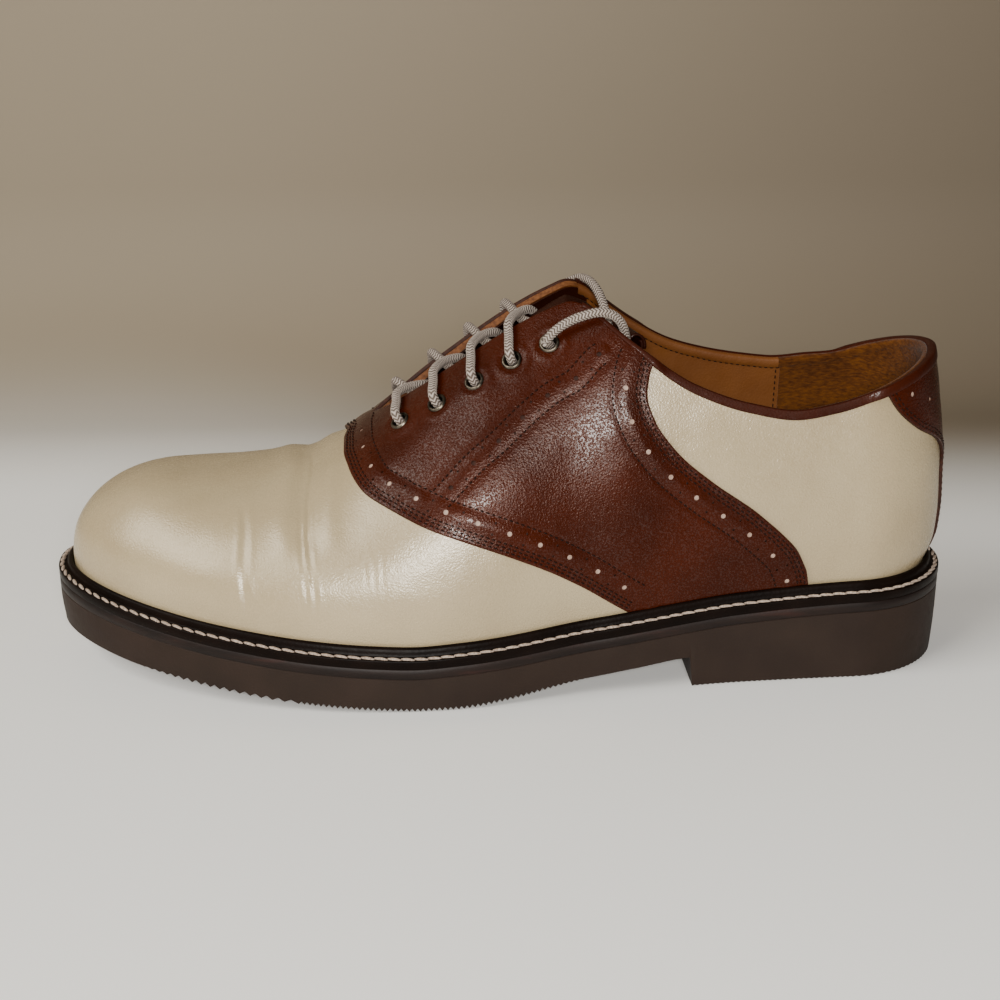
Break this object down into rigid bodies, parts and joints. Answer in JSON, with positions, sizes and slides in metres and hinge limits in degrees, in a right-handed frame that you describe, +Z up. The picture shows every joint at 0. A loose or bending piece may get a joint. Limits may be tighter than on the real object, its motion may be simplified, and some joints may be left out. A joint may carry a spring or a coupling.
{
  "type": "saddle shoe",
  "caption": "Left low-cut laced shoe with a pale leather upper, a brown saddle and heel tab, a storm welt and a moulded sole with a low heel.",
  "frame": {"origin": "centre of the base of the bounding box, on the floor that heel and forefoot stand on", "axes": "+X from the toe to the heel, +Y to the inner side of the foot, +Z up"},
  "size_m": [0.306, 0.1124, 0.1291],
  "materials": {
    "sole": "satin",
    "welt": "satin",
    "cream_leather": "semi-gloss",
    "brown_leather": "semi-gloss",
    "lining": "matt",
    "eyelet": "antique",
    "lace": "woven"
  },
  "bodies": {
    "root": {"outsole": "sole", "midsole": "welt", "welt": "welt", "insole": "lining", "upper": "cream_leather", "saddle": "brown_leather", "backstay": "brown_leather", "binding_outer": "brown_leather", "binding_inner": "brown_leather", "tongue": "brown_leather", "eyelet_outer_1": "eyelet", "eyelet_outer_2": "eyelet", "eyelet_outer_3": "eyelet", "eyelet_outer_4": "eyelet", "eyelet_outer_5": "eyelet", "eyelet_inner_1": "eyelet", "eyelet_inner_2": "eyelet", "eyelet_inner_3": "eyelet", "eyelet_inner_4": "eyelet", "eyelet_inner_5": "eyelet", "lace_crossing_1": "lace", "lace_crossing_2": "lace", "lace_crossing_3": "lace", "lace_crossing_4": "lace", "lace_end_outer": "lace", "lace_tip_outer": "eyelet", "lace_end_inner": "lace", "lace_tip_inner": "eyelet"}
  },
  "joints": []
}
